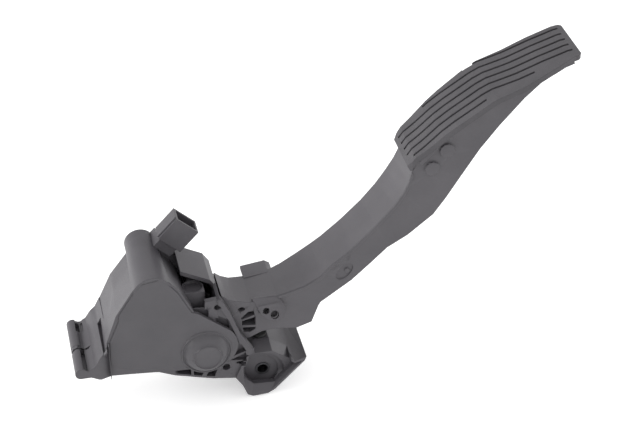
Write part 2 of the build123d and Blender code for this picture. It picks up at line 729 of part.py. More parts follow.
# Pedal arm outlines
arm_top_near = [(11.5, 35.2), (16.0, 31.3), (20.8, 29.4), (28.7, 27.2), (45.3, 29.6), (52.0, 31.1), (62.5, 34.2),
                (71.8, 39.7), (77.9, 46.2), (90.2, 56.0), (105.3, 71.5), (117.2, 85.1), (121.9, 92.2),
                (125.3, 99.5), (126.9, 106.2)]
arm_top_far = [(11.9, 31.5), (15.6, 28.4), (20.7, 26.1), (29.4, 25.7), (46.0, 28.3), (53.3, 31.7), (63.0, 37.6),
               (72.0, 43.4), (78.5, 48.0), (91.1, 58.7), (103.5, 70.8), (112.7, 81.8), (118.7, 90.6),
               (123.5, 98.5), (126.9, 106.0)]
pad_top = [(124.2, 110.1), (128.3, 117.3), (134.3, 123.4), (143.2, 133.3), (150.3, 139.8), (158.0, 146.0),
           (166.9, 153.0), (172.8, 156.6), (187.9, 162.0), (202.8, 168.5), (217.8, 173.9), (224.0, 175.0)]
arm_low = [(206.9, 160.3), (193.3, 147.5), (179.2, 131.1), (167.9, 116.2), (156.6, 98.0), (148.5, 84.7),
           (141.0, 73.9), (125.7, 61.4), (113.1, 54.0), (102.3, 43.6), (91.3, 33.4), (72.3, 20.1), (70.9, 17.9),
           (66.5, 5.9), (57.1, 2.8), (49.0, 4.0), (42.0, 4.5), (35.5, 4.0), (28.0, 0.7), (20.0, -1.5),
           (14.0, -3.4), (11.5, 0.0)]


def below_pad(depth):
    """Points of the pad's top line moved this far into the pad."""
    return [(x + 0.5 * depth, z - 0.87 * depth) for x, z in pad_top]


pad_under = below_pad(tread_thickness + carrier_plate / 2)[1:-2]
hollow_top = [(x + 0.45 * flange_thickness, z - flange_thickness) for x, z in arm_top_far[3:]]
rib_feet = [(36.0, 90.0), (52.0, 88.0), (64.0, 100.0), (78.0, 115.0), (94.0, 130.0), (111.0, 132.0), (128.0, 138.0),
            (145.0, 145.0), (162.0, 150.0), (178.0, 155.0)]

with BuildPart() as pedal_arm:
    with BuildSketch(across(hub_near)):
        polygon(arm_top_near + pad_under + arm_low)
    with BuildSketch(across(arm_far)):
        polygon(arm_top_far + pad_under + arm_low)
    loft(ruled=True)
    # channel between the webs, open below, with its cross ribs
    with BuildSketch(across(hub_near + web_thickness)):
        polygon([(34.0, 22.0)] + hollow_top[1:] + below_pad(tread_thickness + carrier_plate)[1:-2]
                + [(230.0, 140.0), (150.0, 60.0), (70.0, -10.0), (34.0, -10.0)])
        for foot_x, turn in rib_feet:
            foot_z = min(arm_low, key=lambda corner: abs(corner[0] - foot_x))[1]
            with Locations((foot_x, foot_z)):
                Rectangle(160.0, rib_thickness, rotation=turn, mode=Mode.SUBTRACT)
    extrude(amount=web_thickness * 2 - arm_width, mode=Mode.SUBTRACT)
    # hub drum with the lever for the return springs
    with BuildSketch(across(hub_near)):
        Circle(drum_radius)
    extrude(amount=-hub_width)
    with BuildSketch(across(spring_y - lever_width / 2)):
        polygon([(-5.0, -lever_half_height), (-14.0, -lever_half_height), (-lever_reach - seat_radius, -0.6),
                 (-lever_reach - seat_radius, lever_half_height), (-5.0, lever_half_height)])
    extrude(amount=-lever_width)
    with BuildSketch(across(hub_far)):
        Circle(drum_radius + drum_gap + 0.5)
    extrude(amount=-web_thickness - side_gap, mode=Mode.SUBTRACT)
    # root: hole, lattice pockets and the pocket on its far side
    with BuildSketch(across(hub_near)):
        with Locations((23.4, 22.8)):
            Ellipse(2.1, 1.6)
        for pocket in root_pockets:
            polygon(pocket)
    extrude(amount=-root_pocket_depth, mode=Mode.SUBTRACT)
    with BuildSketch(across(arm_far)):
        polygon([(13.6, 6.0), (21.4, 3.0), (21.4, 20.0), (13.6, 24.0)])
    extrude(amount=root_pocket_depth, mode=Mode.SUBTRACT)
    # slanted plate with two holes, folded down from the top
    with BuildSketch(fold):
        polygon([(29.8, 1.0), (46.0, 1.0), (49.6, -6.0), (49.9, -9.1), (47.5, -13.0), (42.4, -14.9), (39.5, -14.0),
                 (34.9, -10.1), (31.5, -2.2)])
        with Locations((42.9, -10.8)):
            Circle(2.6, mode=Mode.SUBTRACT)
        polygon([(35.4, -8.6), (39.6, -5.6), (39.9, -8.6), (38.2, -9.8)], Mode.SUBTRACT)
    extrude(amount=-web_thickness)
    with BuildSketch(across(hub_near)):
        polygon([(33.4, 25.0), (46.0, 26.0), (46.0, 20.0), (33.4, 20.0)])
    extrude(amount=fold_reach)
    # tab on the far side of the top
    with BuildSketch(across(arm_far - web_thickness)):
        polygon([(29.8, 24.6), (29.8, 26.4), (45.0, 28.4), (48.3, 26.2), (48.3, 24.6)])
    extrude(amount=arm_far - web_thickness - tab_far)
    # plate that carries the pad
    with BuildSketch(across(pad_near)):
        polygon(below_pad(tread_thickness)[1:-1] + below_pad(tread_thickness + carrier_plate)[-2:0:-1])
    extrude(amount=-pad_width)
    # round bosses, the ring and the recessed oval on the near web
    with BuildSketch(across(hub_near - boss_height)):
        for place in ((147.7, 118.5), (139.1, 107.2)):
            with Locations(place):
                Circle(4.5)
    extrude(amount=-boss_height)
    with BuildSketch(across(hub_near)):
        with Locations((86.9, 40.6)):
            Ellipse(6.6, 4.0, rotation=50)
    extrude(amount=-oval_depth, mode=Mode.SUBTRACT)
    with BuildSketch(across(hub_near + oval_depth)):
        with Locations((88.6, 41.0)):
            Circle(1.6)
    extrude(amount=oval_depth)
    # bore for the shaft
    with BuildSketch(across(hub_near)):
        Circle(shaft_radius)
    extrude(amount=-hub_width, mode=Mode.SUBTRACT)

# Pad tread with its curved near edge and its grooves
pad_far = pad_near + pad_width
with BuildPart() as tread_grooves:
    with BuildSketch(across(-5.0)):
        polygon([(x, z + 2.0) for x, z in pad_top] + below_pad(groove_depth)[::-1])
    extrude(amount=-60.0)
    with BuildSketch(level(0.0)) as groove_plan:
        for index in range(groove_count):
            start_x = groove_starts[index]
            end_x = groove_ends[index]
            line_y = pad_far - 4.1 - groove_spacing * index
            mid_x = (start_x + end_x) / 2
            bow = [line_y + groove_bow * ((groove_right - x) / groove_right_span) ** 2 for x in (start_x, mid_x, end_x)]
            with BuildLine():
                ThreePointArc((start_x, bow[0] - groove_width / 2), (mid_x, bow[1] - groove_width / 2),
                              (end_x, bow[2] - groove_width / 2))
                Line((end_x, bow[2] - groove_width / 2), (end_x, bow[2] + groove_width / 2))
                ThreePointArc((end_x, bow[2] + groove_width / 2), (mid_x, bow[1] + groove_width / 2),
                              (start_x, bow[0] + groove_width / 2))
                Line((start_x, bow[0] + groove_width / 2), (start_x, bow[0] - groove_width / 2))
            make_face()
    extrude(amount=200.0, mode=Mode.INTERSECT)

with BuildPart() as pad_tread:
    with BuildSketch(across(-5.0)):
        polygon(pad_top + below_pad(tread_thickness)[::-1])
    extrude(amount=-60.0)
    with BuildSketch(level(0.0)):
        with BuildLine():
            Polyline((pad_left, 14.0), (pad_left, pad_far - 2.5), (pad_left + 2.5, pad_far), (pad_right - 3.5, pad_far))
            ThreePointArc((pad_right - 3.5, pad_far), (pad_right - 1.0, pad_far - 1.0), (pad_right, pad_far - 3.5))
            Line((pad_right, pad_far - 3.5), (pad_right, 10.5))
            ThreePointArc((pad_right, 10.5), (pad_right - 0.9, 8.1), (pad_right - 3.5, 7.2))
            ThreePointArc((pad_right - 3.5, 7.2), (172.0, -0.2), (pad_left + 3.0, 10.5))
            Line((pad_left + 3.0, 10.5), (pad_left, 14.0))
        make_face()
    extrude(amount=200.0, mode=Mode.INTERSECT)
    add(tread_grooves.part, mode=Mode.SUBTRACT)

housing.part.label = "housing"
export_step(housing.part, "parts/housing.step")
side_cover.part.label = "side_cover"
export_step(side_cover.part, "parts/side_cover.step")
sensor_cover.part.label = "sensor_cover"
export_step(sensor_cover.part, "parts/sensor_cover.step")
pedal_arm.part.label = "pedal_arm"
export_step(pedal_arm.part, "parts/pedal_arm.step")
pad_tread.part.label = "pad_tread"
export_step(pad_tread.part, "parts/pad_tread.step")
mounting_sleeve.part.label = "mounting_sleeve"
export_step(mounting_sleeve.part, "parts/mounting_sleeve.step")
pivot_shaft.part.label = "pivot_shaft"
export_step(pivot_shaft.part, "parts/pivot_shaft.step")
pivot_bush_near.part.label = "pivot_bush_near"
export_step(pivot_bush_near.part, "parts/pivot_bush_near.step")
pivot_bush_far.part.label = "pivot_bush_far"
export_step(pivot_bush_far.part, "parts/pivot_bush_far.step")
return_spring_outer.part.label = "return_spring_outer"
export_step(return_spring_outer.part, "parts/return_spring_outer.step")
return_spring_inner.part.label = "return_spring_inner"
export_step(return_spring_inner.part, "parts/return_spring_inner.step")
spring_seat.part.label = "spring_seat"
export_step(spring_seat.part, "parts/spring_seat.step")
spring_cap.part.label = "spring_cap"
export_step(spring_cap.part, "parts/spring_cap.step")
friction_shoe.part.label = "friction_shoe"
export_step(friction_shoe.part, "parts/friction_shoe.step")
friction_spring.part.label = "friction_spring"
export_step(friction_spring.part, "parts/friction_spring.step")
idle_stop_bumper.part.label = "idle_stop_bumper"
export_step(idle_stop_bumper.part, "parts/idle_stop_bumper.step")
full_stop_bumper.part.label = "full_stop_bumper"
export_step(full_stop_bumper.part, "parts/full_stop_bumper.step")
magnet_carrier.part.label = "magnet_carrier"
export_step(magnet_carrier.part, "parts/magnet_carrier.step")
magnet.part.label = "magnet"
export_step(magnet.part, "parts/magnet.step")
sensor_board.part.label = "sensor_board"
export_step(sensor_board.part, "parts/sensor_board.step")
hall_chip_1.part.label = "hall_chip_1"
export_step(hall_chip_1.part, "parts/hall_chip_1.step")
hall_chip_2.part.label = "hall_chip_2"
export_step(hall_chip_2.part, "parts/hall_chip_2.step")
sensor_seal.part.label = "sensor_seal"
export_step(sensor_seal.part, "parts/sensor_seal.step")
sensor_cover_screws.part.label = "sensor_cover_screws"
export_step(sensor_cover_screws.part, "parts/sensor_cover_screws.step")
for index in range(terminal_count):
    terminals[index].label = f"terminal_{index + 1}"
    export_step(terminals[index], f"parts/terminal_{index + 1}.step")
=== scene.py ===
import bpy
import bmesh
from math import cos, radians, sin
from mathutils import Matrix, Vector


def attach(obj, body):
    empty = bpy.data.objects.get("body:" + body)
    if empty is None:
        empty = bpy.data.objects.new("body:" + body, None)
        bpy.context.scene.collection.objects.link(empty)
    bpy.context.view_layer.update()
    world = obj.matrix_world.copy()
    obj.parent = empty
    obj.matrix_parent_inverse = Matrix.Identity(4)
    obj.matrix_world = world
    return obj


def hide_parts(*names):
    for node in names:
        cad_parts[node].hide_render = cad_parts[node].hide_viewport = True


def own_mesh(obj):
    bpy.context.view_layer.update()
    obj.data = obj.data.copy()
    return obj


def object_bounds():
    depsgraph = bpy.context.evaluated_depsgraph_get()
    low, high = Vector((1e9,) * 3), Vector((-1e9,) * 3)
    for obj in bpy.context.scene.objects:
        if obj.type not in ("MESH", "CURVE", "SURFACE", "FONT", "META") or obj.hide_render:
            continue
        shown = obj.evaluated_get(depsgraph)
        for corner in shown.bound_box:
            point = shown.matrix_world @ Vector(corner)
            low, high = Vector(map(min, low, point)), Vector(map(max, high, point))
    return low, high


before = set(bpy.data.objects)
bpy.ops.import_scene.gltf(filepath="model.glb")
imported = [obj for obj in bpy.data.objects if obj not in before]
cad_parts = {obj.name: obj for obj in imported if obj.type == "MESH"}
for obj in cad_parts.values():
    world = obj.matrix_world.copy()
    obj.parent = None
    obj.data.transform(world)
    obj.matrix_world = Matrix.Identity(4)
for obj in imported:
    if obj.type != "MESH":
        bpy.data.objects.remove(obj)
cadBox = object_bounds()
print("frame loaded")


def linked(name, data):                              # an object in the scene's collection
    holder = bpy.data.objects.new(name, data)
    bpy.context.scene.collection.objects.link(holder)
    return holder


# Helpers for node materials

pattern = {"cloud": (4.0, 0.6), "grain": (2.0, 0.5), "span": (0.3, 0.7), "edgeSamples": 6}


def newMaterial(name):
    material = bpy.data.materials.new(name)
    material.use_nodes = True
    tree = material.node_tree
    tree.nodes.clear()
    output = tree.nodes.new("ShaderNodeOutputMaterial")
    shader = tree.nodes.new("ShaderNodeBsdfPrincipled")
    tree.links.new(shader.outputs["BSDF"], output.inputs["Surface"])
    return material, tree, shader


def addNoise(tree, scale, detail, roughness):
    coords = tree.nodes.new("ShaderNodeTexCoord")
    noise = tree.nodes.new("ShaderNodeTexNoise")
    noise.inputs["Scale"].default_value = scale
    noise.inputs["Detail"].default_value = detail
    noise.inputs["Roughness"].default_value = roughness
    tree.links.new(coords.outputs["Object"], noise.inputs["Vector"])
    return noise.outputs["Fac"]


def addRange(tree, value, low, high):                # the noise's usual span, spread from low to high
    fromLow, fromHigh = pattern["span"]
    spread = tree.nodes.new("ShaderNodeMapRange")
    spread.inputs["From Min"].default_value = fromLow
    spread.inputs["From Max"].default_value = fromHigh
    spread.inputs["To Min"].default_value = low
    spread.inputs["To Max"].default_value = high
    tree.links.new(value, spread.inputs["Value"])
    return spread.outputs["Result"]


def mixColour(tree, factor, first, second):          # the node's sockets 6, 7 and 2 are its colours
    mix = tree.nodes.new("ShaderNodeMix")
    mix.data_type = "RGBA"
    mix.inputs[6].default_value = (*first, 1)
    mix.inputs[7].default_value = (*second, 1)
    tree.links.new(factor, mix.inputs["Factor"])
    return mix.outputs[2]


def addCloud(tree, shader, look):                    # base colour that drifts between two tones
    cloud = addNoise(tree, look["cloudScale"], *pattern["cloud"])
    shade = addRange(tree, cloud, 0.0, 1.0)
    tree.links.new(mixColour(tree, shade, look["dark"], look["light"]), shader.inputs["Base Color"])
    return cloud


def addBump(tree, shader, height, look):
    bump = tree.nodes.new("ShaderNodeBump")
    bump.inputs["Strength"].default_value = look["bump"]
    bump.inputs["Distance"].default_value = look["bumpDepth"]
    tree.links.new(height, bump.inputs["Height"])
    if look["soften"] > 0:                           # rounds the edges in the shading, by this radius
        edge = tree.nodes.new("ShaderNodeBevel")
        edge.samples = pattern["edgeSamples"]
        edge.inputs["Radius"].default_value = look["soften"]
        tree.links.new(edge.outputs["Normal"], bump.inputs["Normal"])
    tree.links.new(bump.outputs["Normal"], shader.inputs["Normal"])


def mouldedPlastic(name, look):
    material, tree, shader = newMaterial(name)
    addCloud(tree, shader, look)
    grain = addNoise(tree, look["grainScale"], *pattern["grain"])
    tree.links.new(addRange(tree, grain, look["smooth"], look["rough"]), shader.inputs["Roughness"])
    shader.inputs["Specular IOR Level"].default_value = look["gloss"]
    addBump(tree, shader, grain, look)
    return material


def metal(name, look):
    material, tree, shader = newMaterial(name)
    cloud = addCloud(tree, shader, look)
    tree.links.new(addRange(tree, cloud, look["smooth"], look["rough"]), shader.inputs["Roughness"])
    shader.inputs["Metallic"].default_value = 1.0
    addBump(tree, shader, cloud, look)
    return material


def dress(node, material):
    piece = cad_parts[node]
    if not piece.material_slots:
        piece.data.materials.append(material)
    for slot in piece.material_slots:
        slot.material = material


# Helpers for shapes. Sizes are millimetres, from the pivot's axis in X and Z and from the cap's level in Y.

shaping = {"pivotX": -36.0, "pivotY": -51.0, "pivotZ": 28.5, "rodSides": 56, "turnSteps": 72,
           "axisReach": 0.01, "toolWeld": 1e-7, "copyWeld": 1e-6, "largeFaces": 100}


def fromPivot(x, y, z):                              # to metres in the frame
    return Vector((x + shaping["pivotX"], y + shaping["pivotY"], z + shaping["pivotZ"])) / 1000


def faceOn(bm, corners):
    return bm.faces.new([bm.verts.new(corner) for corner in corners])


def extruded(bm, faces):                             # gives the new corners, still to be moved
    pushed = bmesh.ops.extrude_face_region(bm, geom=faces)["geom"]
    return [part for part in pushed if isinstance(part, bmesh.types.BMVert)]


def pushAcross(bm, line, near, far, farLine=None):   # outline in X and Z, pushed along the pivot
    corners = [fromPivot(x, near, z) for x, z in line]
    ends = extruded(bm, [faceOn(bm, corners)])
    for corner, (farX, farZ) in zip(corners, farLine or line):
        end = min(ends, key=lambda vert: (vert.co - corner).length)
        ends.remove(end)
        end.co = fromPivot(farX, far, farZ)


def pushUp(bm, line, low, high):                     # outline in X and Y, pushed up
    ends = extruded(bm, [faceOn(bm, [fromPivot(x, y, low) for x, y in line])])
    bmesh.ops.translate(bm, vec=(0, 0, (high - low) / 1000), verts=ends)


def widened(bm, line, amount, near, far):            # outline grown sideways and pushed, alone in its bmesh
    outline = faceOn(bm, [fromPivot(x, near, z) for x, z in line])
    bmesh.ops.inset_region(bm, faces=[outline], thickness=amount / 1000, use_even_offset=True,
                           use_outset=True, use_boundary=True)
    inner = [edge for edge in bm.edges if not edge.is_boundary]
    bmesh.ops.dissolve_edges(bm, edges=inner, use_verts=True)
    ends = extruded(bm, bm.faces[:])
    bmesh.ops.translate(bm, vec=(0, (far - near) / 1000, 0), verts=ends)


def rodBetween(bm, start, end, startRadius, endRadius=None):
    way = end - start
    turn = way.to_track_quat("Z", "Y").to_matrix().to_4x4()
    bmesh.ops.create_cone(bm, cap_ends=True, segments=shaping["rodSides"], radius1=startRadius / 1000,
                          radius2=(endRadius or startRadius) / 1000, depth=way.length,
                          matrix=Matrix.Translation((start + end) / 2) @ turn)


def rod(bm, start, end, startRadius, endRadius=None):
    rodBetween(bm, fromPivot(*start), fromPivot(*end), startRadius, endRadius)


def roundAcross(bm, x, z, radius, near, far):
    rod(bm, (x, near, z), (x, far, z), radius)


def turnedAcross(bm, profile):                       # radius and depth pairs, spun round the pivot's axis
    corners = [bm.verts.new(fromPivot(radius, depth, 0)) for radius, depth in profile]
    edges = [bm.edges.new((corners[i], corners[(i + 1) % len(corners)])) for i in range(len(corners))]
    axisX = fromPivot(shaping["axisReach"], 0, 0).x
    edges = [edge for edge in edges if max(vert.co.x for vert in edge.verts) > axisX]
    spun = list(dict.fromkeys(vert for edge in edges for vert in edge.verts))
    bmesh.ops.spin(bm, geom=spun + edges, cent=fromPivot(0, 0, 0), axis=(0, 1, 0), angle=radians(360),
                   steps=shaping["turnSteps"], use_merge=True)


def toolFrom(shapes):                                # each shape is its function and what that is given
    bm = bmesh.new()
    for make, *values in shapes:
        make(bm, *values)
    bmesh.ops.remove_doubles(bm, verts=bm.verts, dist=shaping["toolWeld"])
    bmesh.ops.recalc_face_normals(bm, faces=bm.faces)
    mesh = bpy.data.meshes.new("tool")
    bm.to_mesh(mesh)
    bm.free()
    return mesh


def joins(*shapes):
    return "UNION", toolFrom(shapes)


def cuts(*shapes):
    return "DIFFERENCE", toolFrom(shapes)


def settled(piece):                                  # modifiers applied to the mesh
    bpy.context.view_layer.update()
    done = bpy.data.meshes.new_from_object(piece.evaluated_get(bpy.context.evaluated_depsgraph_get()))
    piece.modifiers.clear()
    piece.data = done
    done.name = piece.name
    return done


def reshaped(name, node, steps, smooth):             # a merged copy of a CAD node, with its steps applied
    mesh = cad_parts[node].data.copy()
    bm = bmesh.new()
    bm.from_mesh(mesh)
    bmesh.ops.remove_doubles(bm, verts=bm.verts, dist=shaping["copyWeld"])
    bm.to_mesh(mesh)
    bm.free()
    piece = linked(name, mesh)
    helpers = []
    for operation, tool in steps:                    # shapes that would share faces are in separate steps
        helper = linked("tool", tool)
        helpers.append(helper)
        change = piece.modifiers.new("change", "BOOLEAN")
        change.operation = operation
        change.solver = "MANIFOLD"
        change.object = helper
    done = settled(piece)
    for helper in helpers:
        bpy.data.objects.remove(helper)
    done.polygons.foreach_set("use_smooth", [True] * len(done.polygons))
    done.set_sharp_from_angle(angle=radians(smooth))
    even = piece.modifiers.new("even", "WEIGHTED_NORMAL")
    even.weight = shaping["largeFaces"]
    even.keep_sharp = True
    done = settled(piece)
    print(name, len(done.polygons), "faces")
    return piece


# Housing: rim round the cover, hook, bearing pockets, friction tube in its block, and foot

housingShape = {
    "smooth": 20, "overcut": 1.0,
    "rimFace": 5.4, "rimBack": 7.5, "rimWidth": 1.0, "rimRoot": 0.4, "coverGap": 0.45, "capRadius": 15.7,
    "caseFar": 38.0, "cavityFar": 41.9,
    "ridgeNear": (-30.0, 49.05), "ridgeFar": (-30.7, 49.0, 54.0), "ridgeRadii": (11.8, 9.3),
    "ridgeHollow": (-29.8, 51.0, 5.0), "drumRoom": (17.0, 11.0, 38.9), "bushBore": 6.55, "boreFar": 42.4,
    "blockHeights": (18.0, 38.0), "tubeBore": ((-4.2, 22.0, 10.0), (-4.2, 22.0, 34.0), 4.4),
    "blockCup": ((-4.2, 21.6, 36.2), (-4.2, 21.6, 39.0), 5.6),
    "idleSeat": ((-36.0, 25.0, -8.6), (-36.0, 25.0, -2.6), 4.5),
    "hookEnds": (2.0, 50.6), "hollowEnds": (4.6, 48.4), "slotFloor": -2.3, "shallowSlotFloor": 0.3,
    "slotTop": 12.0, "flankEnds": (1.5, 34.0), "slitHeights": (-12.0, 20.0),
    "wallFace": 5.0, "pocketFloor": 10.4, "railFloor": 15.5, "lug": (12.2, -19.6, 2.7), "lugFar": 11.0,
    "upperHole": (8.2, 30.5, 2.0), "lowHole": (12.2, -16.2, 2.4), "holeFloor": 11.5,
    "footEnds": (6.0, 18.9), "mouthEnds": (5.9, 8.5), "pocketEnds": (8.4, 12.0), "shelfEnds": (11.9, 20.0),
    "wellPlace": (33.5, -28.5), "wellRadius": 15.5, "stepEnds": (11.8, 14.4), "wellInner": 12.2,
    "wellEnds": (11.7, 16.0), "bore": (36.0, -28.5, 4.6), "boreEnds": (11.9, 51.5)}
coverLine = [(-21.6, 55.3), (-15.3, 47.1), (-7.8, 31.2), (-3.6, 29.2), (15.1, 13.6), (18.2, 9.2),
             (19.4, 3.5), (18.6, -2.6), (15.8, -7.6), (11.2, -11.2), (3.1, -14.2), (-11.6, -9.7),
             (-25.6, -8.6), (-43.0, -6.7), (-55.9, -0.9), (-57.6, 1.6), (-57.2, 17.4), (-51.0, 32.0),
             (-50.6, 36.4), (-38.4, 55.0), (-35.6, 57.6), (-32.9, 59.0), (-30.0, 59.4), (-27.1, 59.0),
             (-24.2, 57.7)]
caseNear = [(-59.3, -8.0), (-59.2, 17.0), (-52.4, 36.0), (-39.4, 56.0), (-20.4, 56.2), (-13.8, 47.9),
            (-6.3, 31.6), (-7.8, -11.2), (-19.6, -11.0), (-29.0, -10.6), (-46.0, -9.0)]
caseBack = [(-59.1, -7.9), (-59.1, 13.8), (-50.2, 34.0), (-39.5, 48.7), (-20.8, 49.9), (-12.2, 41.2),
            (-8.2, 30.8), (-8.2, -11.0), (-19.6, -10.8), (-29.0, -10.4), (-46.0, -8.9)]
caseCavity = [(-54.6, 2.5), (-54.6, 14.0), (-46.8, 33.6), (-38.8, 44.0), (-19.2, 44.0), (-15.0, 39.5),
              (-10.6, 30.0), (-10.6, -6.6), (-25.6, -5.6), (-43.0, -3.6)]
hookLine = [(-75.8, 2.8), (-71.5, 0.6), (-67.6, 3.0), (-64.6, 7.2), (-61.3, 10.9), (-58.4, 15.4),
            (-58.4, -8.0), (-64.0, -7.6), (-70.0, -4.4), (-75.8, -4.4), (-78.3, -3.4), (-79.4, -0.8),
            (-78.3, 1.8)]
hookHollow = [(-71.0, -9.0), (-71.0, -2.0), (-67.3, 0.4), (-64.2, 5.0), (-61.8, 7.0), (-61.8, -9.0)]
hookSlots = [[(-81.0, 19.6), (-76.6, 21.6), (-71.8, 21.6), (-71.8, 23.6), (-81.0, 22.6)],
             [(-74.2, 2.8), (-71.8, 2.8), (-71.8, 22.0), (-74.2, 22.0)],
             [(-74.5, 39.5), (-72.2, 39.5), (-72.2, 48.4), (-74.5, 48.4)]]
shallowSlots = [[(-71.9, 21.6), (-69.0, 21.6), (-67.4, 23.4), (-70.0, 23.6), (-71.9, 23.6)],
                [(-71.3, 39.5), (-70.0, 39.5), (-70.0, 48.4), (-71.3, 48.4)]]
flankGroove = [(-61.6, 10.6), (-60.5, 9.4), (-59.3, 9.2), (-59.3, 20.0), (-61.6, 20.0)]
flankSlit = [(-65.5, 2.0), (-58.3, 5.4), (-58.3, 0.5), (-65.5, 0.5)]
frictionBlock = [(-10.5, 15.1), (2.1, 15.1), (2.1, 22.0), (-10.5, 22.0)]
bearingPockets = [[(-6.2, 30.6), (2.2, 30.2), (2.6, 22.0), (-6.2, 27.0)],
                  [(6.6, 22.8), (13.2, 21.2), (15.1, 15.4), (15.0, 11.0), (7.0, 17.0)],
                  [(21.6, 1.2), (24.5, -4.6), (17.0, -8.5), (17.5, -2.0)],
                  [(24.5, -7.2), (24.5, -12.8), (14.6, -11.4)],
                  [(20.2, -14.7), (25.0, -15.2), (25.0, -16.2), (20.2, -15.8)]]
railPockets = [[(-19.0, -13.4), (-9.6, -13.8), (-9.6, -18.2), (-17.5, -15.9)],
               [(-8.0, -14.8), (-1.2, -16.8), (-3.2, -20.2), (-8.0, -18.8)],
               [(1.6, -17.2), (6.6, -17.0), (4.8, -22.2), (-0.6, -21.0)]]
footFill = [(29.0, -10.3), (40.4, -10.3), (54.0, -20.6), (58.2, -19.2), (40.9, -36.6), (36.8, -38.5),
            (28.6, -38.9), (26.6, -37.9), (24.2, -31.5), (23.8, -17.0)]
footPocket = [(26.4, -9.6), (24.6, -16.6), (23.2, -18.0), (23.2, -26.2), (25.3, -29.8), (29.0, -33.5),
              (42.2, -34.4), (57.0, -19.8), (54.6, -20.6), (52.4, -18.8), (52.4, -4.0), (30.6, -4.0)]
footMouth = [(26.2, -9.2), (24.2, -16.0), (22.2, -17.4), (22.4, -27.0), (23.4, -33.4), (27.0, -38.6),
             (39.8, -38.2), (59.4, -18.8), (54.4, -19.8), (52.4, -18.0), (52.4, -4.0), (30.6, -4.0)]
shelfNear = [(30.6, -4.0), (30.6, -12.6), (41.5, -12.6), (52.4, -20.4), (52.4, -4.0)]
shelfBack = [(30.6, -4.0), (30.6, -8.0), (41.0, -8.0), (52.4, -16.7), (52.4, -4.0)]

rimFace, rimBack, gap = (housingShape[size] for size in ("rimFace", "rimBack", "coverGap"))
openFace = rimFace - housingShape["overcut"]         # cutters start this far in front of the rim
wallFace, slotTop = housingShape["wallFace"], housingShape["slotTop"]
ridgeX, ridgeZ = housingShape["ridgeNear"]

housingBody = reshaped("housingBody", "housing", [
    joins((pushAcross, hookLine, *housingShape["hookEnds"])),
    joins((pushAcross, caseNear, rimFace, housingShape["caseFar"], caseBack)),
    joins((rod, (ridgeX, rimFace, ridgeZ), housingShape["ridgeFar"], *housingShape["ridgeRadii"])),
    joins((widened, coverLine, gap + housingShape["rimWidth"], rimFace, rimBack + housingShape["rimRoot"])),
    joins((roundAcross, *housingShape["lug"], rimBack, housingShape["lugFar"]),
          (pushAcross, footFill, *housingShape["footEnds"]),
          (pushUp, frictionBlock, *housingShape["blockHeights"])),
    cuts((widened, coverLine, gap, openFace, rimBack)),
    cuts((roundAcross, 0.0, 0.0, housingShape["capRadius"] + gap, openFace, rimBack),
         (pushAcross, caseCavity, openFace, housingShape["cavityFar"]),
         (roundAcross, *housingShape["ridgeHollow"], openFace, housingShape["cavityFar"]),
         (roundAcross, 0.0, 0.0, *housingShape["drumRoom"]),
         (roundAcross, 0.0, 0.0, housingShape["bushBore"], openFace, housingShape["boreFar"]),
         (rod, *housingShape["tubeBore"]),
         (rod, *housingShape["blockCup"]),
         (rod, *housingShape["idleSeat"]),
         (pushAcross, hookHollow, *housingShape["hollowEnds"])),
    cuts(*[(pushUp, slot, housingShape["slotFloor"], slotTop) for slot in hookSlots],
         *[(pushUp, slot, housingShape["shallowSlotFloor"], slotTop) for slot in shallowSlots],
         (pushAcross, flankGroove, *housingShape["flankEnds"]),
         (pushUp, flankSlit, *housingShape["slitHeights"])),
    cuts(*[(pushAcross, pocket, wallFace, housingShape["pocketFloor"]) for pocket in bearingPockets],
         *[(pushAcross, pocket, wallFace, housingShape["railFloor"]) for pocket in railPockets],
         (roundAcross, *housingShape["upperHole"], wallFace, housingShape["holeFloor"]),
         (roundAcross, *housingShape["lowHole"], wallFace, housingShape["holeFloor"])),
    cuts((pushAcross, footMouth, *housingShape["mouthEnds"], footPocket)),
    cuts((pushAcross, footPocket, *housingShape["pocketEnds"])),
    cuts((pushAcross, shelfNear, *housingShape["shelfEnds"], shelfBack)),
    cuts((roundAcross, *housingShape["wellPlace"], housingShape["wellRadius"], *housingShape["stepEnds"])),
    cuts((roundAcross, *housingShape["wellPlace"], housingShape["wellInner"], *housingShape["wellEnds"])),
    cuts((roundAcross, *housingShape["bore"], *housingShape["boreEnds"]))], housingShape["smooth"])
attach(housingBody, "module")
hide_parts("housing")


# Side cover: lower, stepped cap with a sunk disc

coverShape = {
    "smooth": 15,
    "backing": [(0.0, 0.3), (7.2, 0.3), (13.2, 3.4), (13.2, 5.5), (11.4, 4.6), (7.6, 2.3), (0.0, 2.3)],
    "front": [(0.0, -4.0), (0.0, -0.6), (7.9, -0.6), (8.2, -1.5), (8.9, -1.5), (9.3, 0.3), (10.6, 1.2),
              (12.3, 2.0), (13.6, 4.4), (14.3, 4.6), (14.6, 4.2), (15.3, 4.2), (15.75, 5.0), (16.2, -4.0)]}
coverBody = reshaped("coverBody", "side_cover", [
    joins((turnedAcross, coverShape["backing"])),
    cuts((turnedAcross, coverShape["front"]))], coverShape["smooth"])
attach(coverBody, "module")
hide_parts("side_cover")


# Arm: lattice at the root, open holes of the folded plate, lip along the top's near edge

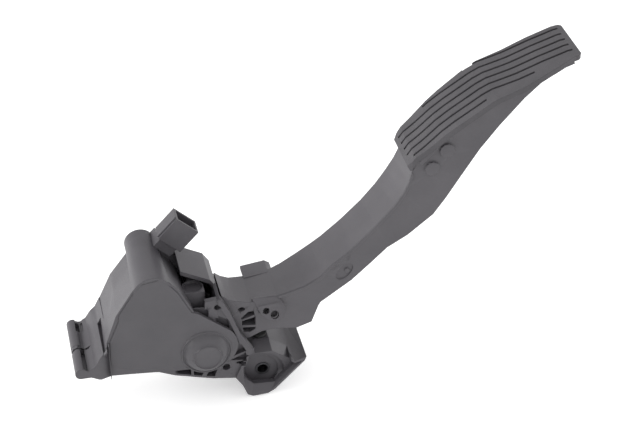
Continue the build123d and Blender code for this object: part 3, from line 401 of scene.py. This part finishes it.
armShape = {
    "smooth": 22, "fillEnds": (12.0, 33.0), "pocketEnds": (11.0, 22.0),
    "lipEnds": (11.2, 12.5), "lipInset": (0.1, 0.3), "lipHeight": 2.0, "lipSlope": 0.5,
    "inward": (0, 0.906, -0.423), "holeStart": 2, "hole": (42.9, 7.43, 18.81), "holeDepth": 7.6,
    "holeRadius": 2.6, "kidney": (37.9, 8.7, 21.6), "kidneyDepth": 6.6, "kidneyRadius": 1.9}
rootFill = [(22.8, 3.6), (32.6, 3.6), (32.6, 21.2), (22.8, 21.2)]
rootPockets = [[(22.9, 16.0), (27.3, 20.2), (30.6, 20.4), (31.3, 17.4), (23.2, 15.0)],
               [(23.4, 13.8), (31.8, 15.8), (31.7, 9.6), (23.4, 10.6)],
               [(23.8, 8.8), (31.7, 8.0), (31.3, 6.4), (28.2, 4.7), (24.2, 5.4)]]
armTop = [(45.3, 29.6), (52.0, 31.1), (62.5, 34.2), (71.8, 39.7), (77.9, 46.2), (90.2, 56.0), (105.3, 71.5),
          (117.2, 85.1), (121.9, 92.2), (125.3, 99.5), (126.9, 106.2)]
insetX, insetZ = armShape["lipInset"]
lipHeight, lipSlope = armShape["lipHeight"], armShape["lipSlope"]
lipLine = [(x + insetX, z - insetZ) for x, z in armTop]
lipLine += [(x + lipSlope * lipHeight, z - lipHeight) for x, z in reversed(armTop)]


def plateHole(bm, place, depth, radius):             # square to the folded plate, from in front of it
    inward = Vector(armShape["inward"]) / 1000
    face = fromPivot(*place)
    rodBetween(bm, face - armShape["holeStart"] * inward, face + depth * inward, radius)


armBody = reshaped("armBody", "pedal_arm", [
    joins((pushAcross, rootFill, *armShape["fillEnds"])),
    joins((pushAcross, lipLine, *armShape["lipEnds"])),
    cuts(*[(pushAcross, pocket, *armShape["pocketEnds"]) for pocket in rootPockets]),
    cuts((plateHole, armShape["hole"], armShape["holeDepth"], armShape["holeRadius"]),
         (plateHole, armShape["kidney"], armShape["kidneyDepth"], armShape["kidneyRadius"]))],
    armShape["smooth"])
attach(armBody, "pedal")
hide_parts("pedal_arm")


# Sensor cover: shroud undercut down to its neck, guide rail on its side

shroudShape = {
    "smooth": 20, "mouth": (-3.4, 73.4), "angle": 47.0, "undercut": (17.0, 19.6), "neckHalf": 6.5,
    "half": 9.2, "railSpan": (0.6, 16.6), "railSides": (-9.6, -8.3), "railEnds": (35.2, 37.0),
    "nearEnds": (33.5, 36.0), "sideEnds": (35.9, 47.0)}


def alongConnector(distance, sideways):              # X and Z, this far behind the mouth and to its side
    turn = radians(shroudShape["angle"])
    mouthX, mouthZ = shroudShape["mouth"]
    return (mouthX - distance * cos(turn) + sideways * sin(turn),
            mouthZ - distance * sin(turn) - sideways * cos(turn))


def alongStrip(bm, span, sides, ends):
    start, end = span
    left, right = sides
    line = [alongConnector(start, left), alongConnector(end, left), alongConnector(end, right),
            alongConnector(start, right)]
    pushAcross(bm, line, *ends)


undercut, sideEnds = shroudShape["undercut"], shroudShape["sideEnds"]
neckHalf, half = shroudShape["neckHalf"], shroudShape["half"]
shroudBody = reshaped("shroudBody", "sensor_cover", [
    joins((alongStrip, shroudShape["railSpan"], shroudShape["railSides"], shroudShape["railEnds"])),
    cuts((alongStrip, undercut, (-half, half), shroudShape["nearEnds"])),
    cuts((alongStrip, undercut, (-half, -neckHalf), sideEnds)),
    cuts((alongStrip, undercut, (neckHalf, half), sideEnds))], shroudShape["smooth"])
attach(shroudBody, "module")
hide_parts("sensor_cover")


# Return springs, which shorten as the lever comes up, copied here at one fixed length

springShape = {"smooth": 40, "top": 42.0, "foot": 5.6, "rise": 7.76}
springs = {}
for node in ("return_spring_outer", "return_spring_inner"):
    coil = reshaped(node.replace("return_spring_", "coil"), node, [], springShape["smooth"])
    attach(coil, "module")
    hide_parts(node)
    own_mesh(coil)
    springs[node] = coil
print("pieces made")


# Finishes

housingLook = {"dark": (0.062, 0.058, 0.066), "light": (0.075, 0.071, 0.079), "cloudScale": 60.0,
               "grainScale": 2600.0, "smooth": 0.42, "rough": 0.56, "gloss": 0.5, "bump": 0.25,
               "bumpDepth": 0.00012, "soften": 0.0005}
coverLook = {"dark": (0.062, 0.059, 0.066), "light": (0.075, 0.071, 0.079), "cloudScale": 40.0,
             "grainScale": 2200.0, "smooth": 0.40, "rough": 0.52, "gloss": 0.5, "bump": 0.2,
             "bumpDepth": 0.0001, "soften": 0.0004}
armLook = {"dark": (0.070, 0.066, 0.074), "light": (0.087, 0.082, 0.091), "cloudScale": 30.0,
           "grainScale": 2400.0, "smooth": 0.42, "rough": 0.55, "gloss": 0.5, "bump": 0.25,
           "bumpDepth": 0.00012, "soften": 0.0008}
padLook = {"dark": (0.058, 0.055, 0.061), "light": (0.074, 0.070, 0.077), "cloudScale": 50.0,
           "grainScale": 1500.0, "smooth": 0.48, "rough": 0.66, "gloss": 0.45, "bump": 0.5,
           "bumpDepth": 0.0002, "soften": 0.0005}
acetalLook = {"dark": (0.62, 0.60, 0.53), "light": (0.70, 0.68, 0.61), "cloudScale": 80.0,
              "grainScale": 1800.0, "smooth": 0.35, "rough": 0.45, "gloss": 0.5, "bump": 0.1,
              "bumpDepth": 0.0001, "soften": 0.0003}
rubberLook = {"dark": (0.020, 0.020, 0.020), "light": (0.030, 0.030, 0.030), "cloudScale": 90.0,
              "grainScale": 1500.0, "smooth": 0.7, "rough": 0.85, "gloss": 0.3, "bump": 0.3,
              "bumpDepth": 0.0001, "soften": 0.0004}
ferriteLook = {"dark": (0.07, 0.065, 0.065), "light": (0.10, 0.095, 0.095), "cloudScale": 200.0,
               "grainScale": 3000.0, "smooth": 0.5, "rough": 0.65, "gloss": 0.4, "bump": 0.2,
               "bumpDepth": 0.0001, "soften": 0.0002}
boardLook = {"dark": (0.01, 0.10, 0.045), "light": (0.015, 0.14, 0.06), "cloudScale": 300.0,
             "grainScale": 4000.0, "smooth": 0.25, "rough": 0.35, "gloss": 0.5, "bump": 0.05,
             "bumpDepth": 0.00005, "soften": 0.0001}
steelLook = {"dark": (0.42, 0.41, 0.40), "light": (0.58, 0.57, 0.55), "cloudScale": 300.0, "smooth": 0.28,
             "rough": 0.42, "bump": 0.1, "bumpDepth": 0.0001, "soften": 0.0002}
sleeveLook = {"dark": (0.055, 0.055, 0.060), "light": (0.085, 0.085, 0.090), "cloudScale": 300.0,
              "smooth": 0.45, "rough": 0.6, "bump": 0.1, "bumpDepth": 0.0001, "soften": 0.0002}
springLook = {"dark": (0.16, 0.16, 0.165), "light": (0.24, 0.24, 0.245), "cloudScale": 400.0,
              "smooth": 0.35, "rough": 0.5, "bump": 0.1, "bumpDepth": 0.0001, "soften": 0.0}
bronzeLook = {"dark": (0.62, 0.60, 0.55), "light": (0.74, 0.72, 0.66), "cloudScale": 500.0, "smooth": 0.2,
              "rough": 0.3, "bump": 0.1, "bumpDepth": 0.0001, "soften": 0.0}

housingPlastic = mouldedPlastic("housingPlastic", housingLook)
coverPlastic = mouldedPlastic("coverPlastic", coverLook)
armPlastic = mouldedPlastic("armPlastic", armLook)
padSkin = mouldedPlastic("padSkin", padLook)
acetal = mouldedPlastic("acetal", acetalLook)
bumperRubber = mouldedPlastic("bumperRubber", rubberLook)
ferrite = mouldedPlastic("ferrite", ferriteLook)
boardGreen = mouldedPlastic("boardGreen", boardLook)
steel = metal("steel", steelLook)
sleeveSteel = metal("sleeveSteel", sleeveLook)
springWire = metal("springWire", springLook)
bronze = metal("bronze", bronzeLook)

finishes = {
    "housing": housingPlastic, "side_cover": coverPlastic, "sensor_cover": housingPlastic,
    "pedal_arm": armPlastic, "pad_tread": padSkin, "mounting_sleeve": sleeveSteel, "pivot_shaft": steel,
    "pivot_bush_near": acetal, "pivot_bush_far": acetal, "return_spring_outer": springWire,
    "return_spring_inner": springWire, "spring_seat": acetal, "spring_cap": acetal,
    "friction_shoe": acetal, "friction_spring": springWire, "idle_stop_bumper": bumperRubber,
    "full_stop_bumper": bumperRubber, "magnet_carrier": acetal, "magnet": ferrite,
    "sensor_board": boardGreen, "hall_chip_1": ferrite, "hall_chip_2": ferrite,
    "sensor_seal": bumperRubber, "sensor_cover_screws": steel}
for number in range(1, 7):
    finishes[f"terminal_{number}"] = bronze
for node, material in finishes.items():
    dress(node, material)
newPieces = {"housing": housingBody, "side_cover": coverBody, "pedal_arm": armBody,
             "sensor_cover": shroudBody, **springs}
for node, piece in newPieces.items():
    piece.data.materials.clear()
    piece.data.materials.append(finishes[node])
print("finishes set")


# Studio: pale floor, white surroundings and two soft lamps

studio = {"floorDrop": 0.0005, "floorSize": 6.0, "floorX": 0.06, "floorColour": (0.9, 0.9, 0.9),
          "floorRoughness": 0.9, "floorGlow": 0.35, "worldColour": (1.0, 1.0, 1.0), "worldStrength": 1.0,
          "lampSize": 0.7, "lampTarget": (0.04, -0.02, 0.08),
          "lamps": {"keyLamp": ((-1.2, 0.1, 0.45), 9.0), "rimLamp": ((1.3, 0.2, 0.35), 5.0)}}


def highest(tree, first, second):
    either = tree.nodes.new("ShaderNodeMath")
    either.operation = "MAXIMUM"
    tree.links.new(first, either.inputs[0])
    tree.links.new(second, either.inputs[1])
    return either.outputs[0]


def paintFloor(mesh):                                # glows a little, as the camera and mirrored rays see it
    paint, tree, shader = newMaterial("floorPaint")
    shader.inputs["Base Color"].default_value = (*studio["floorColour"], 1)
    shader.inputs["Roughness"].default_value = studio["floorRoughness"]
    shader.inputs["Specular IOR Level"].default_value = 0.0
    path = tree.nodes.new("ShaderNodeLightPath")
    glow = tree.nodes.new("ShaderNodeEmission")
    glow.inputs["Color"].default_value = (1, 1, 1, 1)
    glow.inputs["Strength"].default_value = studio["floorGlow"]
    mirrored = highest(tree, path.outputs["Is Glossy Ray"], path.outputs["Is Transmission Ray"])
    seen = highest(tree, path.outputs["Is Camera Ray"], mirrored)
    both = tree.nodes.new("ShaderNodeAddShader")
    mix = tree.nodes.new("ShaderNodeMixShader")
    tree.links.new(shader.outputs["BSDF"], both.inputs[0])
    tree.links.new(glow.outputs["Emission"], both.inputs[1])
    tree.links.new(seen, mix.inputs["Fac"])
    tree.links.new(shader.outputs["BSDF"], mix.inputs[1])
    tree.links.new(both.outputs["Shader"], mix.inputs[2])
    output = next(node for node in tree.nodes if node.type == "OUTPUT_MATERIAL")
    tree.links.new(mix.outputs["Shader"], output.inputs["Surface"])
    mesh.materials.append(paint)


def layFloor():
    bm = bmesh.new()
    bmesh.ops.create_grid(bm, x_segments=1, y_segments=1, size=studio["floorSize"] / 2)
    lowest = cadBox[0][2] - studio["floorDrop"]
    bmesh.ops.translate(bm, vec=(studio["floorX"], 0.0, lowest), verts=bm.verts)
    mesh = bpy.data.meshes.new("studioFloor")
    bm.to_mesh(mesh)
    bm.free()
    paintFloor(mesh)
    return linked("studioFloor", mesh)


def lightWorld():                                    # white behind the object, whatever light it gives
    world = bpy.data.worlds.new("studioWorld")
    bpy.context.scene.world = world
    world.use_nodes = True
    tree = world.node_tree
    tree.nodes.clear()
    output = tree.nodes.new("ShaderNodeOutputWorld")
    soft = tree.nodes.new("ShaderNodeBackground")
    soft.inputs["Color"].default_value = (*studio["worldColour"], 1)
    soft.inputs["Strength"].default_value = studio["worldStrength"]
    white = tree.nodes.new("ShaderNodeBackground")
    white.inputs["Color"].default_value = (1, 1, 1, 1)
    path = tree.nodes.new("ShaderNodeLightPath")
    mix = tree.nodes.new("ShaderNodeMixShader")
    tree.links.new(path.outputs["Is Camera Ray"], mix.inputs["Fac"])
    tree.links.new(soft.outputs["Background"], mix.inputs[1])
    tree.links.new(white.outputs["Background"], mix.inputs[2])
    tree.links.new(mix.outputs["Shader"], output.inputs["Surface"])


def areaLamp(name, place, power):
    lamp = bpy.data.lights.new(name, "AREA")
    lamp.shape = "DISK"
    lamp.size = studio["lampSize"]
    lamp.energy = power
    holder = linked(name, lamp)
    holder.location = place
    way = Vector(studio["lampTarget"]) - Vector(place)
    holder.rotation_euler = way.to_track_quat("-Z", "Y").to_euler()


studioFloor = layFloor()
lightWorld()
for name, (place, power) in studio["lamps"].items():
    areaLamp(name, place, power)
print("studio set")


# Camera

shot = {"place": (-0.14935, -0.83410, 0.68141), "forward": (0.18625, 0.79987, -0.57054), "lens": 95.625,
        "sensor": 36.0, "clipStart": 0.05}
camera = bpy.data.cameras.new("camera")
camera.lens = shot["lens"]
camera.sensor_width = shot["sensor"]
camera.clip_start = shot["clipStart"]
cameraHolder = linked("camera", camera)
cameraHolder.location = shot["place"]
cameraHolder.rotation_euler = Vector(shot["forward"]).to_track_quat("-Z", "Y").to_euler()
bpy.context.scene.camera = cameraHolder
bpy.context.scene.view_settings.view_transform = "Standard"

print("camera set")
